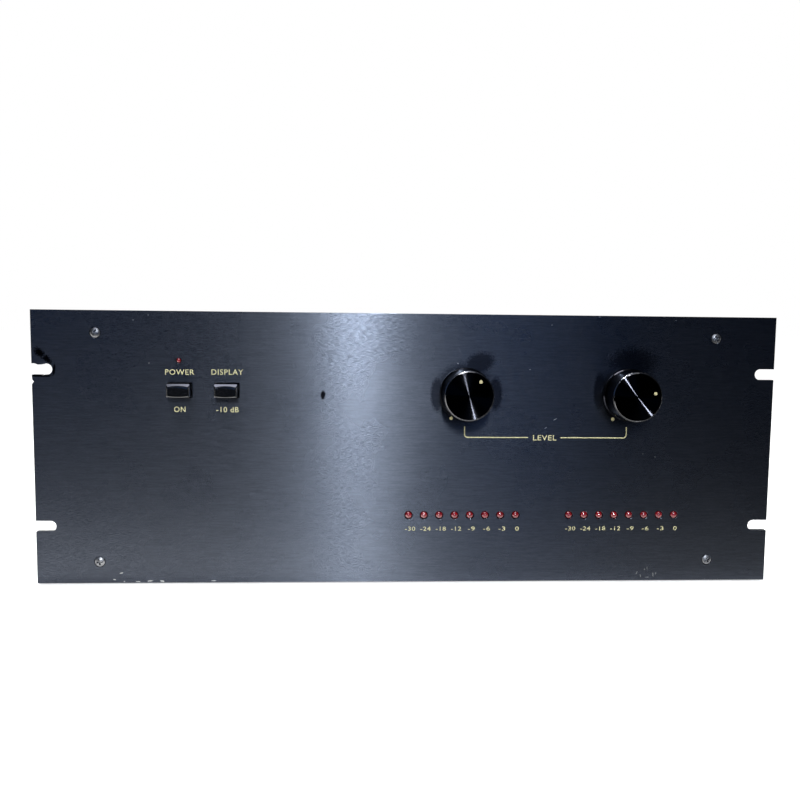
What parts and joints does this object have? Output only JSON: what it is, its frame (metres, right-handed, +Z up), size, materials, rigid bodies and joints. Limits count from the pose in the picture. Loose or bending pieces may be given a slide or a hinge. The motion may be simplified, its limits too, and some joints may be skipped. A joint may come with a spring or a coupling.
{
  "type": "stereo power amplifier",
  "caption": "Rack-mount stereo power amplifier with a black brushed panel, level knobs, push-buttons, lamp meters, side heat sinks and a vented cover.",
  "frame": {"origin": "centre of the bounding box at the soles of the feet", "axes": "+X to the right seen from the front, +Y to the rear, +Z up; the front panel faces -Y"},
  "size_m": [0.4826, 0.3414, 0.1782],
  "materials": {
    "panel_anodised": "black anodised, brushed along its length",
    "knob_anodised": "gloss black anodised, turned",
    "heatsink_anodised": "matt black anodised extrusion",
    "bright_screw": "bright plated",
    "plated_steel": "zinc plated",
    "painted_steel": "satin black textured paint",
    "black_plastic": "gloss",
    "moulded_black": "satin moulded",
    "red_plastic": "gloss",
    "red_lens": "gloss tinted epoxy",
    "foot_rubber": "matt",
    "circuit_board": "solder resist",
    "lamination": "varnished",
    "winding_wrap": "taped winding",
    "capacitor_sleeve": "shrunk plastic sleeve over an aluminium can",
    "gilt": "gold flashed"
  },
  "bodies": {
    "chassis": {"front_panel": "panel_anodised", "lower_left_panel_screw": "bright_screw", "lower_right_panel_screw": "bright_screw", "upper_left_panel_screw": "bright_screw", "upper_right_panel_screw": "bright_screw", "sub_panel": "plated_steel", "power_led": "red_lens", "left_meter_led_1": "red_lens", "left_meter_led_2": "red_lens", "left_meter_led_3": "red_lens", "left_meter_led_4": "red_lens", "left_meter_led_5": "red_lens", "left_meter_led_6": "red_lens", "left_meter_led_7": "red_lens", "left_meter_led_8": "red_lens", "right_meter_led_1": "red_lens", "right_meter_led_2": "red_lens", "right_meter_led_3": "red_lens", "right_meter_led_4": "red_lens", "right_meter_led_5": "red_lens", "right_meter_led_6": "red_lens", "right_meter_led_7": "red_lens", "right_meter_led_8": "red_lens", "meter_board": "circuit_board", "power_switch": "moulded_black", "display_switch": "moulded_black", "left_level_pot": "plated_steel", "right_level_pot": "plated_steel", "chassis_pan": "painted_steel", "top_cover": "painted_steel", "rear_panel": "painted_steel", "front_left_foot": "foot_rubber", "front_right_foot": "foot_rubber", "rear_left_foot": "foot_rubber", "rear_right_foot": "foot_rubber", "left_heatsink": "heatsink_anodised", "right_heatsink": "heatsink_anodised", "transformer_core": "lamination", "transformer_winding": "winding_wrap", "left_filter_capacitor": "capacitor_sleeve", "right_filter_capacitor": "capacitor_sleeve", "capacitor_clamp": "plated_steel", "bridge_rectifier": "moulded_black", "left_amp_board": "circuit_board", "right_amp_board": "circuit_board", "left_input_jack": "gilt", "right_input_jack": "gilt", "left_negative_post": "moulded_black", "left_positive_post": "red_plastic", "right_negative_post": "moulded_black", "right_positive_post": "red_plastic", "mains_inlet": "moulded_black", "line_fuse_holder": "moulded_black"},
    "power_push": {"power_button": "black_plastic"},
    "display_push": {"display_button": "black_plastic"},
    "left_control": {"left_level_knob": "knob_anodised", "left_level_shaft": "plated_steel"},
    "right_control": {"right_level_knob": "knob_anodised", "right_level_shaft": "plated_steel"}
  },
  "joints": [
    {"name": "power_press", "type": "slide", "parent": "chassis", "child": "power_push", "axis": [0, 1, 0], "range_m": [0, 0.0035], "stiffness_N_per_m": 300, "springref_m": -0.002},
    {"name": "display_press", "type": "slide", "parent": "chassis", "child": "display_push", "axis": [0, 1, 0], "range_m": [0, 0.0035], "stiffness_N_per_m": 300, "springref_m": -0.002},
    {"name": "left_level_turn", "type": "hinge", "parent": "chassis", "child": "left_control", "pos_m": [0.0355, -0.14993, 0.1266], "axis": [0, 1, 0], "range_deg": [-188, 112]},
    {"name": "right_level_turn", "type": "hinge", "parent": "chassis", "child": "right_control", "pos_m": [0.1431, -0.14993, 0.1266], "axis": [0, 1, 0], "range_deg": [-228, 72]}
  ]
}
